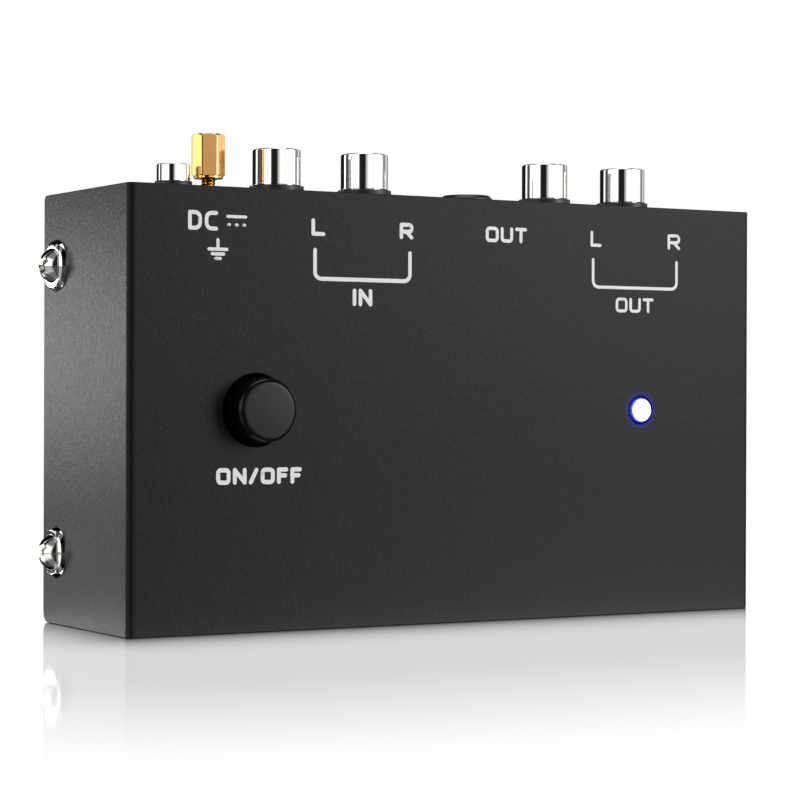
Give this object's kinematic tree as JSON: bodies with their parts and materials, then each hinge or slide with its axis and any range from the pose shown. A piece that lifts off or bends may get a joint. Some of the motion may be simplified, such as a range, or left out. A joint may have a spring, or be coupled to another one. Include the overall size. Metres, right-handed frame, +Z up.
{
  "type": "phono preamp",
  "caption": "Small phono preamplifier in a folded black steel case with phono jacks, a stereo jack, power socket, ground nut, push button and blue light",
  "frame": {"origin": "centre of the long narrow face that the case stands on", "axes": "+X right along the labelled face, +Y from the labelled face through the case to its back plate, +Z up to the connector panel"},
  "size_m": [0.1308, 0.0418, 0.0829],
  "materials": {
    "powder_coated_steel": "fine-textured black powder coat",
    "nickel_plate": "bright nickel plate",
    "zinc_plate": "bright zinc plate",
    "brass": "turned yellow brass",
    "gold_flash": "gold-flashed contact",
    "tinned_contact": "tinned bronze",
    "spring_steel": "spring steel wire",
    "feet_rubber": "matt black rubber",
    "black_nylon": "moulded black nylon",
    "white_nylon": "moulded white nylon",
    "red_nylon": "moulded red nylon",
    "button_abs": "satin black ABS",
    "board_laminate": "green solder mask on glass laminate",
    "wire_jacket": "green wire insulation",
    "capacitor_sleeve": "heat-shrunk sleeve",
    "film_epoxy": "cast resin box",
    "ceramic_dip": "dipped ceramic disc",
    "resistor_enamel": "enamelled resistor",
    "chip_epoxy": "moulded black epoxy",
    "lens_epoxy": "clear blue epoxy, lit"
  },
  "bodies": {
    "case": {"cover": "powder_coated_steel", "chassis": "powder_coated_steel", "cover_screws": "nickel_plate", "cover_screw_washers": "nickel_plate", "rubber_feet": "feet_rubber", "main_board": "board_laminate", "board_standoffs": "zinc_plate", "board_screws": "zinc_plate", "input_left_body": "black_nylon", "input_left_barrel": "nickel_plate", "input_left_insulator": "white_nylon", "input_left_contact": "gold_flash", "input_right_body": "black_nylon", "input_right_barrel": "nickel_plate", "input_right_insulator": "red_nylon", "input_right_contact": "gold_flash", "output_left_body": "black_nylon", "output_left_barrel": "nickel_plate", "output_left_insulator": "white_nylon", "output_left_contact": "gold_flash", "output_right_body": "black_nylon", "output_right_barrel": "nickel_plate", "output_right_insulator": "red_nylon", "output_right_contact": "gold_flash", "stereo_jack_body": "black_nylon", "stereo_tip_spring": "tinned_contact", "stereo_ring_spring": "tinned_contact", "stereo_sleeve_spring": "tinned_contact", "power_jack_body": "black_nylon", "power_jack_barrel": "nickel_plate", "power_tip_spring": "tinned_contact", "ground_screw": "brass", "ground_lug": "tinned_contact", "ground_wire": "wire_jacket", "switch_body": "black_nylon", "switch_spring": "spring_steel", "switch_pins": "tinned_contact", "led_lens": "lens_epoxy", "led_leads": "tinned_contact", "electrolytic_capacitors": "capacitor_sleeve", "film_capacitors": "film_epoxy", "ceramic_capacitors": "ceramic_dip", "resistors": "resistor_enamel", "rectifier_diode": "chip_epoxy", "op_amps": "chip_epoxy", "voltage_regulator": "chip_epoxy"},
    "power_button": {"power_button": "button_abs", "switch_stem": "white_nylon"},
    "ground_washer": {"ground_washer": "brass"},
    "ground_nut": {"ground_nut": "brass"}
  },
  "joints": [
    {"name": "power_button_press", "type": "slide", "parent": "case", "child": "power_button", "axis": [0, 1, 0], "range_m": [0, 0.003], "stiffness_N_per_m": 500, "springref_m": -0.001, "deforming": ["switch_spring"]},
    {"name": "ground_nut_rise", "type": "slide", "parent": "case", "child": "ground_washer", "axis": [0, 0, 1], "range_m": [-0.00225, 0.00225]},
    {"name": "ground_nut_turn", "type": "hinge", "parent": "ground_washer", "child": "ground_nut", "pos_m": [-0.0413, -0.0029, 0.078], "axis": [0, 0, 1], "range_deg": [-1801, 1801]}
  ],
  "couplings": [
    {"joint": "ground_nut_turn", "follows": "ground_nut_rise", "rad_per_m": 13963}
  ]
}
